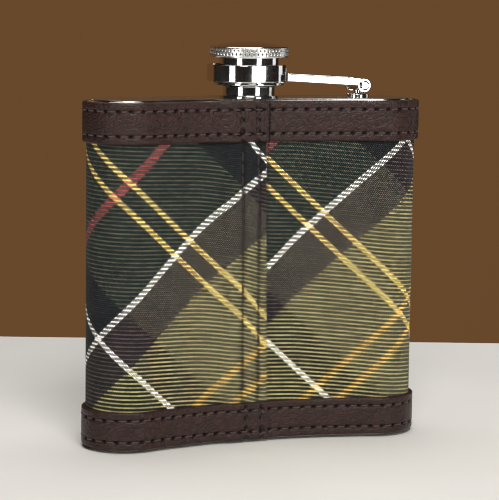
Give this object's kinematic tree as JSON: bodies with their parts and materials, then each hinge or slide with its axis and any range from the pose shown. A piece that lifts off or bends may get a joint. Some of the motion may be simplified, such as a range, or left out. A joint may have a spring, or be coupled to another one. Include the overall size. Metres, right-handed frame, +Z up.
{
  "type": "hip flask",
  "caption": "Flat kidney-section steel hip flask with a tartan wrap, sewn leather cuffs and a knurled screw cap held by a hinged yoke.",
  "frame": {"origin": "middle of the footprint, on the surface the flask stands on", "axes": "+Z up through the neck, +X to the hinge side, -Y the hollow side with the overlapped seam"},
  "size_m": [0.0964, 0.0288, 0.1092],
  "materials": {
    "steel": "satin rolled steel",
    "chrome": "polished",
    "knurled_chrome": "polished, with a knurled rim",
    "insert_metal": "plain turned",
    "backing": "bonded leather board, hidden",
    "tartan": "woven twill tartan",
    "leather": "fine grained, lightly polished",
    "thread": "twisted sewing thread",
    "gasket": "smooth"
  },
  "bodies": {
    "flask": {"body_sleeve": "steel", "top_plate": "steel", "base_plate": "steel", "neck": "chrome", "hinge_bracket": "chrome", "hinge_pin": "chrome", "wrap_backing": "backing", "fabric_wrap": "tartan", "top_cuff": "leather", "bottom_cuff": "leather", "top_cuff_upper_thread": "thread", "top_cuff_lower_thread": "thread", "bottom_cuff_upper_thread": "thread", "bottom_cuff_lower_thread": "thread", "seam_edge_thread": "thread", "seam_inner_thread": "thread"},
    "arm": {"yoke": "chrome"},
    "cap": {"cap_shell": "knurled_chrome", "cap_insert": "insert_metal", "cap_gasket": "gasket", "cap_keeper_ring": "chrome"}
  },
  "joints": [
    {"name": "arm_swing", "type": "hinge", "parent": "flask", "child": "arm", "pos_m": [0.0324, 0.00245, 0.0972], "axis": [0, 1, 0], "range_deg": [0, 180]},
    {"name": "cap_spin", "type": "hinge", "parent": "arm", "child": "cap", "pos_m": [0, 0.00245, 0.1], "axis": [0, 0, 1], "continuous": true}
  ]
}
